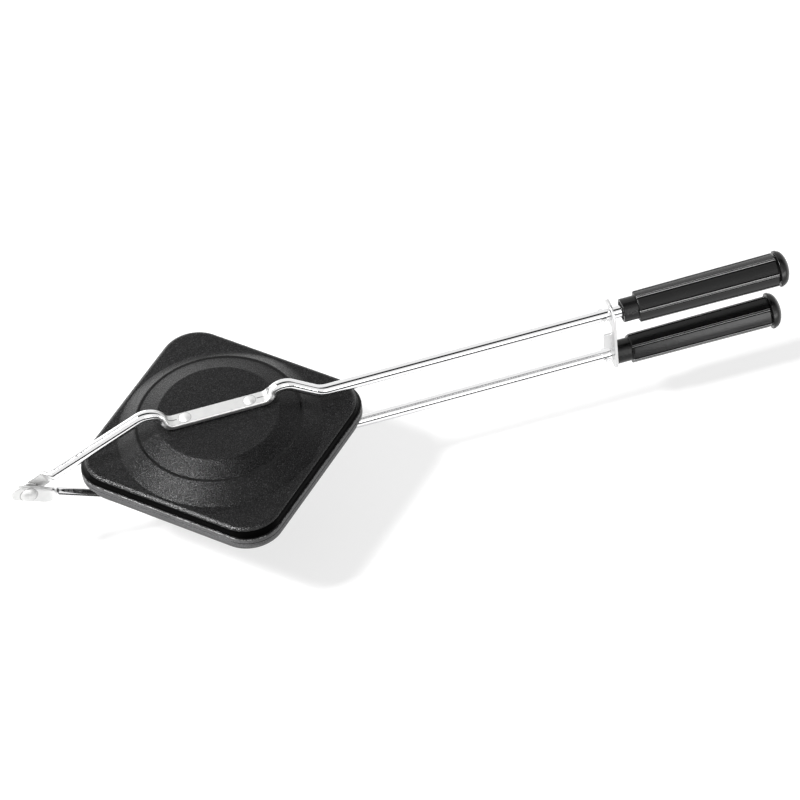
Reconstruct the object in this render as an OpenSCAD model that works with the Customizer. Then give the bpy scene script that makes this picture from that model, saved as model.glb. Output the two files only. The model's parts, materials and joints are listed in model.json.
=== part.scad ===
// Hand-held pie iron: two pressed pans on hinged steel rods, closed on a filling and
// held shut by a swinging latch plate. Millimetres. The origin is the centre of the pans
// on the seam plane, +X runs along the rods to the grips and +Z is up.

/* [Pans] */
// Side of the square rim
pan_side = 132; // [110:1:150]
// Corner radius at the rim
rim_corner = 21; // [14:0.5:26]
// Corner radius at the shoulder, where the wall turns into the face
shoulder_corner = 22; // [16:0.5:30]
// Height of the upright lip round the rim
lip_height = 3.7; // [2:0.1:4.5]
// How far the lip stands out from the wall above it
lip_step = 0.7; // [0.3:0.1:1.2]
// How far the wall leans in between the lip and the shoulder
wall_lean = 0.7; // [0.1:0.1:1.5]
// Depth of one pan, from the seam to its flat face
pan_depth = 9; // [8:0.1:12]
// Rounding between the wall and the face
shoulder_round = 3.2; // [2:0.1:3.6]
// Thickness of the pressed sheet
sheet = 1.8; // [1.2:0.1:2.2]

/* [Dome] */
// Radius of the outer ring, where the dome leaves the face
dome_foot = 60.5; // [56:0.5:63]
// Outer radius of the narrow ledge half way up
ledge_outer = 49.5; // [48.5:0.5:53]
// Inner radius of the ledge
ledge_inner = 47.5; // [44:0.5:48]
// Radius of the flat disc on top
crown_radius = 36; // [34:0.5:40]
// Height of the ledge above the face
ledge_rise = 8.8; // [6:0.1:10]
// Height of the flat disc above the ledge
crown_rise = 4.6; // [3:0.1:6]

/* [Rods] */
// Diameter of the steel rod
rod_d = 7.1; // [6:0.1:8]
// Distance from the pan centre to the hinge pivot
hinge_reach = 117.5; // [110:0.5:130]
// Length of the flattened strap that is riveted to the pan
strap_length = 59; // [54:1:64]
// Width of the strap
strap_width = 9.4; // [8:0.1:11]
// Thickness of the strap
strap_thick = 3.6; // [3:0.1:5]
// Distance from the pan centre to the hump on the hinge side
hinge_hump_reach = 38.8; // [38:0.2:42]
// Height of that hump's corner above the strap
hinge_hump_rise = 14.2; // [12:0.2:17]
// Distance from the pan centre to the hump on the grip side
grip_hump_reach = 39.6; // [38:0.2:43]
// Height of that hump's corner above the strap
grip_hump_rise = 9.2; // [9:0.2:13]
// Distance from the pan centre to where the shank runs straight
shank_start = 61.6; // [60:0.2:68]
// Height of the straight shank above the seam
shank_height = 17.1; // [15:0.1:20]
// Centreline radius of the bend over the hinge-side hump
hinge_hump_bend = 10; // [8:0.5:10.5]
// Centreline radius of the bend over the grip-side hump
grip_hump_bend = 8.5; // [7:0.5:9]
// Centreline radius of the bends at the strap's ends
strap_bend = 6; // [4:0.5:6]
// Centreline radius of the bend into the shank
shank_bend = 14; // [10:1:20]

/* [Hinge] */
// Thickness of the flattened ear at the end of a rod
ear_thick = 3.2; // [2.6:0.1:4]
// Height of the ear across its rod
ear_width = 11; // [9.6:0.2:13]
// Length of the ear beyond the pivot
ear_tip = 10.5; // [8:0.5:14]
// Length of the ear from the pivot back to its rod
ear_root = 12.5; // [8:0.5:13]
// Length over which the round rod is forged into the ear
ear_blend = 6; // [5:0.5:12]
// Radius of the rounded edges that forging leaves on the ear and the strap
forged_edge = 1.2; // [0.6:0.1:1.2]
// Thickness of the washer between the ears
washer_thick = 1; // [0.6:0.1:1.6]
// Diameter of the washer
washer_d = 12.5; // [10.5:0.5:15]
// Diameter of the hinge rivet
pivot_d = 5; // [4:0.1:6]
// Diameter of the rivet's domed head
pivot_head_d = 10; // [8:0.5:12]
// Height of the rivet's domed head
pivot_head_rise = 2.6; // [1.6:0.1:3.5]
// Radial clearance of the ear that turns on the rivet
pivot_clearance = 0.08; // [0.04:0.01:0.1]
// Side clearance between the ears, the washer and the rivet heads
side_clearance = 0.08; // [0.03:0.01:0.2]

/* [Pan rivets] */
// Distance of each rivet from the pan centre
rivet_reach = 19.5; // [16:0.1:24]
// Diameter of the rivet
rivet_d = 4.8; // [4:0.1:5.5]
// Diameter of its domed head on the strap
rivet_head_d = 7.6; // [6.5:0.1:9]
// Height of the domed head
rivet_head_rise = 1.5; // [0.8:0.1:2.2]
// Diameter of the flat head inside the pan
rivet_foot_d = 8.4; // [7:0.1:10]
// Thickness of the flat head inside the pan
rivet_foot_thick = 0.9; // [0.5:0.1:1.5]

/* [Grips] */
// Distance from the pan centre to the front of the upper grip
upper_grip_front = 246.2; // [242:0.2:252]
// Distance from the pan centre to the front of the lower grip
lower_grip_front = 240.6; // [240.4:0.2:248]
// Length of the collar in front of the ribbed body
collar_length = 9.2; // [6:0.2:12]
// Diameter of the collar
collar_d = 14.2; // [13:0.2:16]
// Length of the ribbed body
body_length = 86.5; // [70:0.5:110]
// Diameter over the ribs at the front
body_front_d = 19; // [17:0.2:22]
// Diameter over the ribs at the rear
body_rear_d = 20.4; // [19:0.2:24]
// Number of ribs, with a flat panel between each pair
rib_count = 6; // [5:1:8]
// Turn of the upper grip's ribs about its rod
upper_grip_turn = 6.5; // [0:0.5:60]
// Turn of the lower grip's ribs about its rod
lower_grip_turn = 22; // [0:0.5:60]
// Width of a rib
rib_width = 1.5; // [1:0.1:2.5]
// Height of a rib's edge above the panel beside it
rib_height = 0.5; // [0.3:0.1:0.8]
// Diameter of the open socket in the collar
socket_d = 11; // [9.5:0.1:12]
// Depth of the open socket
socket_depth = 7; // [4:0.5:12]
// Number of crush ribs that centre the rod in the socket
crush_ribs = 6; // [4:1:8]
// Width of a crush rib
crush_rib_width = 1.4; // [0.8:0.1:2]
// Diameter of the recess in the rear end
recess_d = 15; // [13:0.2:16]
// Depth of the recess
recess_depth = 9; // [7:0.5:12]

/* [Grip caps and retainers] */
// Diameter of the cap's rim
cap_d = 22; // [20:0.2:25]
// Thickness of the cap's rim
cap_rim = 1.6; // [1:0.1:3]
// Width of the flat edge of the rim round the dome
cap_edge = 0.4; // [0.2:0.1:1]
// Height of the cap's dome above its rim
cap_dome = 5.4; // [3:0.2:8]
// Width of the shadow gap between the ribs and the cap's rim
cap_gap = 0.8; // [0.4:0.1:0.9]
// Length of the spigot that holds the cap in the recess
spigot_length = 5; // [3:0.2:6]
// Diameter of the push-on retainer
retainer_d = 13; // [11:0.2:14.5]
// Thickness of the retainer
retainer_thick = 1.2; // [0.6:0.1:1.6]
// How far the rod stands out behind the retainer
rod_tail = 1.5; // [0.5:0.1:2]

/* [Latch] */
// Distance from the pan centre to the front face of the latch plate
latch_front = 238.7; // [237.5:0.1:239]
// Thickness of the latch plate
latch_thick = 1.5; // [1:0.1:1.6]
// Radius of the lobe round each rod
lobe_radius = 8.7; // [7.5:0.1:10]
// Clearance of the latch round a rod
latch_clearance = 0.3; // [0.1:0.05:0.5]
// Width of the neck between the lobes
neck_width = 6.3; // [4:0.1:7.5]
// Length of the thumb tab
tab_length = 5.2; // [4:0.2:5.8]
// Height of the thumb tab
tab_height = 11.4; // [8:0.1:14]
// Height of the thumb tab's foot above the lower rod
tab_lift = 9.4; // [6.5:0.1:10]

/* [Stops] */
// Distance from the pan centre to the pinched stop in front of the latch
stop_front = 232.6; // [230:0.2:233]
// Length of the stop along the rod
stop_length = 4; // [3:0.2:5]
// Width over the two pinched ears of the stop
stop_width = 11; // [9:0.2:12]
// Thickness of the pinched ears
stop_thick = 1.6; // [1:0.1:2.4]

/* [Fits] */
// Gap left at the seam between the two rims
seam_gap = 0.1; // [0.05:0.05:0.3]
// Clearance round pressed-in and riveted pieces
press_gap = 0.03; // [0.01:0.01:0.05]

/* [Hidden] */

$fn = 96;
// Segments round the corners of the lofted pan walls
loft_fn = 40;
// Points in each quarter of a ring round the rod
ring_quarter = 6;
// Largest angle between two rings in a bend
bend_step = 12;
// Angle round the ear's tip at which its blunt end starts
tip_angle = 26;
// How far the forged part runs inside the straight shank
shank_lap = 1;
// Thickness of one slice of a loft
slice = 0.01;
// Overshoot of a cut past the face it goes through
past = 1;

pan_color = [0.16, 0.16, 0.17];
rod_color = [0.80, 0.81, 0.83];
strap_color = [0.72, 0.72, 0.73];
grip_color = [0.09, 0.09, 0.09];

// Levels above the seam
ledge_z = pan_depth + ledge_rise;
crown_z = ledge_z + crown_rise;
strap_z = crown_z + strap_thick / 2;
strap_half = strap_length / 2;

// Corners of the rod's bent centreline as [x, z], from the hinge to the shank
rod_corners = [
  [-hinge_reach, 0],
  [-hinge_hump_reach, strap_z + hinge_hump_rise],
  [-strap_half, strap_z],
  [strap_half, strap_z],
  [grip_hump_reach, strap_z + grip_hump_rise],
  [shank_start, shank_height],
  [stop_front, shank_height]
];
bend_radii = [0, hinge_hump_bend, strap_bend, strap_bend, grip_hump_bend, shank_bend, 0];

// Heading of run i, which joins corner i to corner i + 1, in degrees above +X
function heading(i) = let (d = rod_corners[i + 1] - rod_corners[i]) atan2(d[1], d[0]);
// Turn at corner i, anticlockwise positive
function turn(i) = heading(i) - heading(i - 1);
// Length that the bend at corner i takes from each of its two runs
function bend_take(i) =
  (i == 0 || i == len(rod_corners) - 1) ? 0 : bend_radii[i] * tan(abs(turn(i)) / 2);
// Straight length left in run i
function run_length(i) =
  norm(rod_corners[i + 1] - rod_corners[i]) - bend_take(i) - bend_take(i + 1);

// Half the thickness of the two ears and the washer between them
ear_y = washer_thick / 2 + side_clearance;
stack = ear_y + ear_thick;

// Levels of the grip along its own axis, from the front of the collar
grip_rear = collar_length + body_length;
retainer_at = grip_rear - recess_depth;
rod_reach = retainer_at + retainer_thick + rod_tail;

// ---------------------------------------------------------------- pans

// Corner posts of one slice of a rounded square at height z
module square_slice(side, corner, z) {
  at = side / 2 - corner;
  for (x = [-at, at], y = [-at, at])
    translate([x, y, z - slice / 2]) cylinder(h = slice, r = corner, $fn = loft_fn);
}

// Wall and shoulder as one loft: a leaning wall, then a rounded edge up to the face.
// inset is 0 for the outside and the sheet's thickness for the inside.
module wall_loft(from_z, inset) {
  round_r = shoulder_round - inset;
  foot_inset = lip_step + inset;
  hull() {
    square_slice(pan_side - 2 * foot_inset, rim_corner - foot_inset, from_z);
    for (a = [0 : 22.5 : 90]) {
      in = foot_inset + wall_lean + round_r * (1 - cos(a));
      square_slice(
        pan_side - 2 * in,
        shoulder_corner - inset - round_r * (1 - cos(a)),
        pan_depth - inset - round_r * (1 - sin(a))
      );
    }
  }
}

// Stepped dome as a solid of revolution: slope, narrow ledge, slope, flat disc.
// The first slope is carried on below the face so that it cuts through it cleanly.
module dome(inset) {
  slope = (dome_foot - ledge_outer) / ledge_rise;
  base_z = pan_depth - inset - past;
  rotate_extrude()
    polygon([
      [0, base_z],
      [dome_foot + slope * past - inset, base_z],
      [ledge_outer - inset, ledge_z - inset],
      [ledge_inner - inset, ledge_z - inset],
      [crown_radius - inset, crown_z - inset],
      [0, crown_z - inset]
    ]);
}

// Upright lip with round corners, the edge that meets the other pan
module lip_block(height) {
  at = pan_side / 2 - rim_corner;
  for (x = [-at, at], y = [-at, at])
    translate([x, y, 0]) cylinder(h = height, r = rim_corner);
  translate([-at, -pan_side / 2, 0]) cube([2 * at, pan_side, height]);
  translate([-pan_side / 2, -at, 0]) cube([pan_side, 2 * at, height]);
}

// One pan, face up, with the bores for its two rivets
module pan() {
  color(pan_color)
    difference() {
      union() {
        rotate([0, 0, 45]) {
          translate([0, 0, seam_gap / 2]) lip_block(lip_height - seam_gap / 2);
          wall_loft(lip_height / 2, 0);
        }
        dome(0);
      }
      rotate([0, 0, 45]) wall_loft(-past, sheet);
      dome(sheet);
      for (x = [-rivet_reach, rivet_reach])
        translate([x, 0, ledge_z]) cylinder(h = crown_z, d = rivet_d + 2 * press_gap);
    }
}

// ---------------------------------------------------------------- rods

// A cross-section of the rod is [edge radius, half height beyond it, half width beyond it,
// sideways shift, squareness]; squareness is 0 for a round rod and 1 for a flat band.
round_section = [rod_d / 2, 0, 0, 0, 0];
strap_section = [
  forged_edge, strap_thick / 2 - forged_edge, strap_width / 2 - forged_edge, 0, 1
];
// Section of the ear where it is half_h high to each side; side is +1 or -1
function ear_section(side, half_h) = [
  forged_edge, half_h - forged_edge, ear_thick / 2 - forged_edge,
  side * (ear_y + ear_thick / 2), 1
];
// Section a share f of the way from a to b
function mix(a, b, f) = a * (1 - f) + b * f;

// A station is [x, z, heading, section]. This one is s along run i from the end of the
// bend before it.
function run_station(i, s, section) =
  let (at = rod_corners[i] + (bend_take(i) + s) * [cos(heading(i)), sin(heading(i))])
  [at[0], at[1], heading(i), section];
// And this one is a share f of the way round the bend at corner i
function bend_station(i, f, section) =
  let (
    side = sign(turn(i)),
    h = heading(i - 1),
    foot = rod_corners[i] - bend_take(i) * [cos(h), sin(h)],
    centre = foot + side * bend_radii[i] * [-sin(h), cos(h)],
    now = h + f * turn(i),
    at = centre - side * bend_radii[i] * [-sin(now), cos(now)]
  )
  [at[0], at[1], now, section];
// All the stations of a bend, in steps of equal angle
function bend_stations(i, section) =
  let (steps = ceil(abs(turn(i)) / bend_step))
  [for (k = [0 : steps]) bend_station(i, k / steps, section)];

// Points of the ring at a station. Each quarter has the same number of points, so the
// flat sides of a band stay flat and a round section is a regular polygon.
function ring(station) =
  let (s = station[3], h = station[2])
  [
    for (quarter = [0 : 3], m = [0 : ring_quarter - 1])
      let (
        on_round = (quarter + (m + 0.5) / ring_quarter) * 90,
        on_flat = (quarter + m / (ring_quarter - 1)) * 90,
        t = on_round * (1 - s[4]) + on_flat * s[4],
        up = quarter == 0 || quarter == 3 ? 1 : -1,
        across = quarter < 2 ? 1 : -1,
        n = up * s[1] + s[0] * cos(t),
        y = s[3] + across * s[2] + s[0] * sin(t)
      )
      [station[0] - n * sin(h), y, station[1] + n * cos(h)]
  ];

// Skin over a list of stations, closed at both ends
module forged(stations) {
  size = 4 * ring_quarter;
  last = len(stations) - 1;
  polyhedron(
    points = [for (station = stations) each ring(station)],
    faces = concat(
      [[for (j = [size - 1 : -1 : 0]) j]],
      [
        for (i = [0 : last - 1], j = [0 : size - 1])
          let (a = i * size + j, b = i * size + (j + 1) % size)
          each [[a, b + size, a + size], [a, b, b + size]]
      ],
      [[for (j = [0 : size - 1]) last * size + j]]
    )
  );
}

// Stations of the forged part of a rod, from the tip of its ear to its straight shank
function forged_stations(side) =
  let (
    half = ear_width / 2,
    ear_full = ear_section(side, half)
  )
  concat(
    [
      for (a = [tip_angle : (90 - tip_angle) / 4 : 90])
        run_station(0, half * (1 - cos(a)) - ear_tip, ear_section(side, half * sin(a)))
    ],
    [
      for (f = [0 : 0.25 : 1])
        run_station(
          0, ear_root + f * ear_blend, mix(ear_full, round_section, (1 - cos(180 * f)) / 2)
        )
    ],
    bend_stations(1, round_section),
    [run_station(1, run_length(1) / 2, mix(round_section, strap_section, 0.5))],
    bend_stations(2, strap_section),
    bend_stations(3, strap_section),
    [run_station(3, run_length(3) / 2, mix(strap_section, round_section, 0.5))],
    bend_stations(4, round_section),
    bend_stations(5, round_section),
    [run_station(5, shank_lap, round_section * (1 - shank_lap / 100))]
  );

// Places children where the straight shank leaves its last bend, with +Z along it
module on_shank() {
  start = run_station(len(rod_corners) - 2, 0, round_section);
  translate([start[0], 0, start[1]]) rotate([0, 90, 0]) children();
}

// Two small ears pinched out of the rod, which stop the latch from sliding
module pinched_stop() {
  translate([stop_front, 0, shank_height - stop_thick / 2]) {
    translate([0, -stop_width / 2 + stop_length / 2, 0])
      cube([stop_length, stop_width - stop_length, stop_thick]);
    for (y = [-1, 1])
      translate([stop_length / 2, y * (stop_width - stop_length) / 2, 0])
        cylinder(h = stop_thick, d = stop_length);
  }
}

// One rod, forged and bent up to its straight shank. side is +1 when its ear lies behind
// the washer and -1 in front of it; grip_front is where its grip starts.
module rod(side, grip_front) {
  shank_x = run_station(len(rod_corners) - 2, 0, round_section)[0];
  color(rod_color)
    difference() {
      union() {
        forged(forged_stations(side));
        on_shank()
          translate([0, 0, shank_lap / 2])
            cylinder(h = grip_front + rod_reach - shank_x - shank_lap / 2, d = rod_d);
        pinched_stop();
      }
      pivot_bore(side > 0 ? pivot_clearance : press_gap);
      for (x = [-rivet_reach, rivet_reach])
        translate([x, 0, crown_z - past])
          cylinder(h = strap_thick + 2 * past, d = rivet_d + 2 * press_gap);
    }
}

// Bore through an ear at the pivot, with the given radial clearance
module pivot_bore(clearance) {
  translate([-hinge_reach, stack + past, 0])
    rotate([90, 0, 0]) cylinder(h = 2 * (stack + past), d = pivot_d + 2 * clearance);
}

// ---------------------------------------------------------------- rivets

// Spherical cap of base diameter d and height h, standing on z = 0
module cap_of_sphere(d, h) {
  r = (d * d / 4 + h * h) / (2 * h);
  intersection() {
    translate([0, 0, h - r]) sphere(r = r);
    cylinder(h = h + past, d = d + 2 * past);
  }
}

// Rivet that clamps the strap to the pan, at x
module pan_rivet(x) {
  color(strap_color)
    translate([x, 0, 0]) {
      translate([0, 0, crown_z - sheet - rivet_foot_thick])
        cylinder(h = rivet_foot_thick, d = rivet_foot_d);
      translate([0, 0, crown_z - sheet - rivet_foot_thick / 2])
        cylinder(h = sheet + strap_thick + rivet_foot_thick, d = rivet_d);
      translate([0, 0, crown_z + strap_thick]) cap_of_sphere(rivet_head_d, rivet_head_rise);
    }
}

// Pivot of the two arms: domed head in front, flat head behind
module hinge_rivet() {
  reach = stack + side_clearance;
  color(strap_color)
    translate([-hinge_reach, 0, 0])
      rotate([90, 0, 0]) {
        translate([0, 0, -reach - pivot_head_rise / 4])
          cylinder(h = 2 * reach + pivot_head_rise / 2, d = pivot_d);
        translate([0, 0, reach]) cap_of_sphere(pivot_head_d, pivot_head_rise);
        translate([0, 0, -reach - pivot_head_rise / 2])
          cylinder(h = pivot_head_rise / 2, d = pivot_head_d);
      }
}

module hinge_washer() {
  color(strap_color)
    translate([-hinge_reach, washer_thick / 2, 0])
      rotate([90, 0, 0])
        difference() {
          cylinder(h = washer_thick, d = washer_d);
          translate([0, 0, -past])
            cylinder(h = washer_thick + 2 * past, d = pivot_d + 2 * press_gap);
        }
}

// ---------------------------------------------------------------- grips

// Places children at the front of a grip, with +Z along the rod towards the rear
module on_grip(grip_front) {
  translate([grip_front, 0, shank_height]) rotate([0, 90, 0]) children();
}

// Wedges between the ribs, which leave a flat panel and a stepped rib edge
module panel_cuts() {
  taper = atan((body_rear_d - body_front_d) / 2 / body_length);
  step = 360 / rib_count;
  front_r = body_front_d / 2;
  half_chord = front_r * sin(step / 2) - rib_width / 2;
  depth_at = sqrt(front_r * front_r - half_chord * half_chord) - rib_height;
  spread = atan(half_chord * (body_rear_d / body_front_d - 1) / body_length);
  for (i = [0 : rib_count - 1])
    rotate([0, 0, (i + 0.5) * step])
      translate([depth_at, 0, collar_length])
        rotate([0, taper, 0])
          rotate([0, 0, -90])
            rotate([90, 0, 0])
              translate([0, 0, -2 * rib_height - past - front_r])
                linear_extrude(height = 2 * rib_height + past + front_r)
                  polygon([
                    [-half_chord + past * tan(spread), -past],
                    [half_chord - past * tan(spread), -past],
                    [half_chord + (body_length + past) * tan(spread), body_length + past],
                    [-half_chord - (body_length + past) * tan(spread), body_length + past]
                  ]);
}

// Moulded grip: collar with an open ribbed socket, ribbed body, recess in the rear end
module grip(grip_front, grip_turn) {
  color(grip_color)
    on_grip(grip_front)
      rotate([0, 0, grip_turn]) difference() {
        union() {
          cylinder(h = collar_length + past, d = collar_d);
          difference() {
            translate([0, 0, collar_length])
              cylinder(h = body_length, d1 = body_front_d, d2 = body_rear_d);
            panel_cuts();
          }
        }
        difference() {
          translate([0, 0, -past]) cylinder(h = socket_depth + past, d = socket_d);
          for (i = [0 : crush_ribs - 1])
            rotate([0, 0, i * 360 / crush_ribs])
              translate([0, -crush_rib_width / 2, 0])
                cube([socket_d, crush_rib_width, socket_depth + past]);
        }
        translate([0, 0, -past]) cylinder(h = grip_rear + 2 * past, d = rod_d + 2 * press_gap);
        translate([0, 0, retainer_at]) cylinder(h = recess_depth + past, d = recess_d);
      }
}

// Push-on ring that grips the rod's end and keeps the grip on
module retainer(grip_front) {
  color(strap_color)
    on_grip(grip_front)
      translate([0, 0, retainer_at + press_gap])
        difference() {
          cylinder(h = retainer_thick, d = retainer_d);
          translate([0, 0, -past])
            cylinder(h = retainer_thick + 2 * past, d = rod_d + 2 * press_gap);
        }
}

// Domed end cap with a spigot that plugs the grip's recess
module grip_cap(grip_front) {
  rim_at = cap_gap;
  color(grip_color)
    on_grip(grip_front)
      translate([0, 0, grip_rear]) {
        translate([0, 0, rim_at]) cylinder(h = cap_rim, d = cap_d);
        translate([0, 0, rim_at + cap_rim]) cap_of_sphere(cap_d - 2 * cap_edge, cap_dome);
        difference() {
          translate([0, 0, -spigot_length])
            cylinder(h = spigot_length + rim_at + cap_rim / 2, d = recess_d - 2 * press_gap);
          translate([0, 0, -spigot_length - past])
            cylinder(h = spigot_length + past, d = recess_d - 2 * press_gap - 2 * sheet);
        }
      }
}

// ---------------------------------------------------------------- latch

// Track of the upper rod through the plate as the latch swings: a slot along an arc
// about the lower rod, open towards +Y
module slot_track() {
  reach = 2 * shank_height;
  half = rod_d / 2 + latch_clearance;
  deep = latch_thick + 2 * past;
  translate([0, 0, -shank_height])
    rotate([0, 90, 0]) {
      translate([-reach, 0, 0]) cylinder(h = deep, r = half);
      intersection() {
        difference() {
          cylinder(h = deep, r = reach + half);
          translate([0, 0, -past]) cylinder(h = deep + 2 * past, r = reach - half);
        }
        translate([-reach - half - past, 0, 0]) cube([reach, 2 * lobe_radius, deep]);
      }
    }
}

// Latch plate: it turns on the lower rod and hooks the upper one
module latch_plate() {
  reach = 2 * shank_height;
  neck_y = -lobe_radius;
  color(strap_color)
    difference() {
      union() {
        translate([latch_front, 0, 0])
          for (z = [-shank_height, shank_height])
            translate([0, 0, z]) rotate([0, 90, 0]) cylinder(h = latch_thick, r = lobe_radius);
        translate([latch_front, neck_y, -shank_height])
          cube([latch_thick, neck_width, reach]);
        translate([latch_front - tab_length, neck_y + neck_width - latch_thick, tab_lift - shank_height])
          cube([tab_length + latch_thick, latch_thick, tab_height]);
      }
      translate([latch_front - past, 0, 0]) {
        slot_track();
        translate([0, 0, -shank_height])
          rotate([0, 90, 0])
            cylinder(h = latch_thick + 2 * past, d = rod_d + 2 * latch_clearance);
      }
    }
}

// ---------------------------------------------------------------- pieces

module on_lower_arm() {
  mirror([0, 0, 1]) children();
}

pan();  // upper_pan
on_lower_arm() pan();  // lower_pan
rod(1, upper_grip_front);  // upper_rod
on_lower_arm() rod(-1, lower_grip_front);  // lower_rod
pan_rivet(-rivet_reach);  // upper_rivet_hinge_side
pan_rivet(rivet_reach);  // upper_rivet_grip_side
on_lower_arm() pan_rivet(-rivet_reach);  // lower_rivet_hinge_side
on_lower_arm() pan_rivet(rivet_reach);  // lower_rivet_grip_side
hinge_rivet();
hinge_washer();
latch_plate();
grip(upper_grip_front, upper_grip_turn);  // upper_grip
on_lower_arm() grip(lower_grip_front, lower_grip_turn);  // lower_grip
retainer(upper_grip_front);  // upper_grip_retainer
on_lower_arm() retainer(lower_grip_front);  // lower_grip_retainer
grip_cap(upper_grip_front);  // upper_grip_cap
on_lower_arm() grip_cap(lower_grip_front);  // lower_grip_cap
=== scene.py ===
# %% [markdown]
# # A pie iron, dressed for its picture
#
# A pie iron is two shallow pans on two long rods, hinged at one end. Bread and a filling
# go between the pans, a small plate hooks the rods together, and the tool lies in the fire.
# The construction is already settled as exact solids. This file gives each piece a finer
# skin and its real finish, in the same place and at the same size.
#
# The pieces could be sculpted by hand, but every one of them is turned, bent, pressed or
# moulded, so each is worked out from a few real sizes as a profile or a section carried
# along a path. All the sizes are in millimetres, and only `put_piece` turns them to metres.

# %% The fixed frame
import json

import bmesh
import bpy
import numpy as np
from mathutils import Matrix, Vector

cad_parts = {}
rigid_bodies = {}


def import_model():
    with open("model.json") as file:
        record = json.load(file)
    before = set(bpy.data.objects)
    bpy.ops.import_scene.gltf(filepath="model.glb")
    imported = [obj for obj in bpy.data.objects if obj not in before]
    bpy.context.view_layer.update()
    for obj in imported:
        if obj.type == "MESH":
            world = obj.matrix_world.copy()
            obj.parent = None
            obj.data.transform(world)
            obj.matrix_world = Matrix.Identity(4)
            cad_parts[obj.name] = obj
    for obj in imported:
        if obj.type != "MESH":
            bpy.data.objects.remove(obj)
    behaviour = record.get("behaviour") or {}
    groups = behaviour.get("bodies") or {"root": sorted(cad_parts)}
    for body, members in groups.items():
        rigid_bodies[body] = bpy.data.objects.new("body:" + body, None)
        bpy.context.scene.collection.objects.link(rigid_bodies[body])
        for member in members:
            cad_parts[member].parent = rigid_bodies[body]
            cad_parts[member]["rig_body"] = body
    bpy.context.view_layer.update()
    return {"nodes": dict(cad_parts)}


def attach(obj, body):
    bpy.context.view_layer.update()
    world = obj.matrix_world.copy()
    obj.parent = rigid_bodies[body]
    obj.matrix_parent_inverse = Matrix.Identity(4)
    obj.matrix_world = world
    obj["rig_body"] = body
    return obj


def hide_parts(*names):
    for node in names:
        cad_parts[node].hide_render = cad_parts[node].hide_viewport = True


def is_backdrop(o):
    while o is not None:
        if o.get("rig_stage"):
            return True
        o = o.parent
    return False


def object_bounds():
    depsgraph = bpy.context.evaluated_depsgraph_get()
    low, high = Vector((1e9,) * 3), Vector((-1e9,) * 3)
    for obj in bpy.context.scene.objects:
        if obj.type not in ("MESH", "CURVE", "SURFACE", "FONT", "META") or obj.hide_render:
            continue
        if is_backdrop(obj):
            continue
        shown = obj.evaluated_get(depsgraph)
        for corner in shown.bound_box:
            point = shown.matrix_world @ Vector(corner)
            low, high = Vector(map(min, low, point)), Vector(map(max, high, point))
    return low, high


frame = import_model()
print("nodes", sorted(frame["nodes"]))

flips = {"upper": [1, 1, 1], "lower": [1, 1, -1]}
hinge_x, rivet_x, stop_x = -117.5, 19.5, 232.6

# %% [markdown]
# ## The camera
#
# The picture was taken from above and in front, with a long lens, and slightly rolled. The
# camera could be placed by eye, but a fit of the pan's rim and the two rods to the picture
# gives all the numbers at once: two angles, a roll, a distance and an aim. A long lens far
# away keeps the rods almost parallel, as they are in the picture.

# %% Camera from the fitted numbers
def stand(across, upright, back, place):
    """A placement with these three axes, at place in metres."""
    pose = np.eye(4)
    pose[:3] = np.column_stack([across, upright, back, place])
    return Matrix(pose.tolist())


azimuth, elevation, roll = np.radians([-10.795, 47.579, -7.07])
distance, aim_across, aim_up = 2500.0, -104.016, -22.393
pixels_per_unit, frame_pixels = 4274.0, 800

forward = np.array([
    -np.sin(azimuth) * np.cos(elevation), np.cos(azimuth) * np.cos(elevation), -np.sin(elevation)
])
right = np.cross(forward, [0.0, 0.0, 1.0])
right /= np.linalg.norm(right)
up = np.cross(right, forward)
across = np.cos(roll) * right + np.sin(roll) * up
upright = -np.sin(roll) * right + np.cos(roll) * up
turned = np.array([across, upright, forward])
eye = turned.T @ -np.array([aim_across, aim_up, distance]) / 1000

lens = bpy.data.cameras.new("long_lens")
lens.sensor_width = 36.0
lens.lens = pixels_per_unit / frame_pixels * lens.sensor_width
lens.clip_end = 20.0
camera = bpy.data.objects.new("camera", lens)
bpy.context.scene.collection.objects.link(camera)
camera.matrix_world = stand(across, upright, -forward, eye)
bpy.context.scene.camera = camera
bpy.context.scene.view_settings.view_transform = "Standard"
print("camera at", eye.round(3), "lens", round(lens.lens, 1), "mm")

# %% [markdown]
# ## From rings of points to a closed skin
#
# Almost every piece here is a stack of rings: a pan is a stack of rounded squares, a rod is
# a stack of sections along its bends, and a rivet is a stack of circles. One helper joins
# neighbouring rings with four-cornered faces and closes each end with a fan to a middle
# point, or joins the last ring to the first for a piece with a hole through it.
#
# A skin that is inside out shades wrongly. Its volume, summed over the faces, is then
# negative, so the helper measures it and turns the faces round where that is needed.

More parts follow.
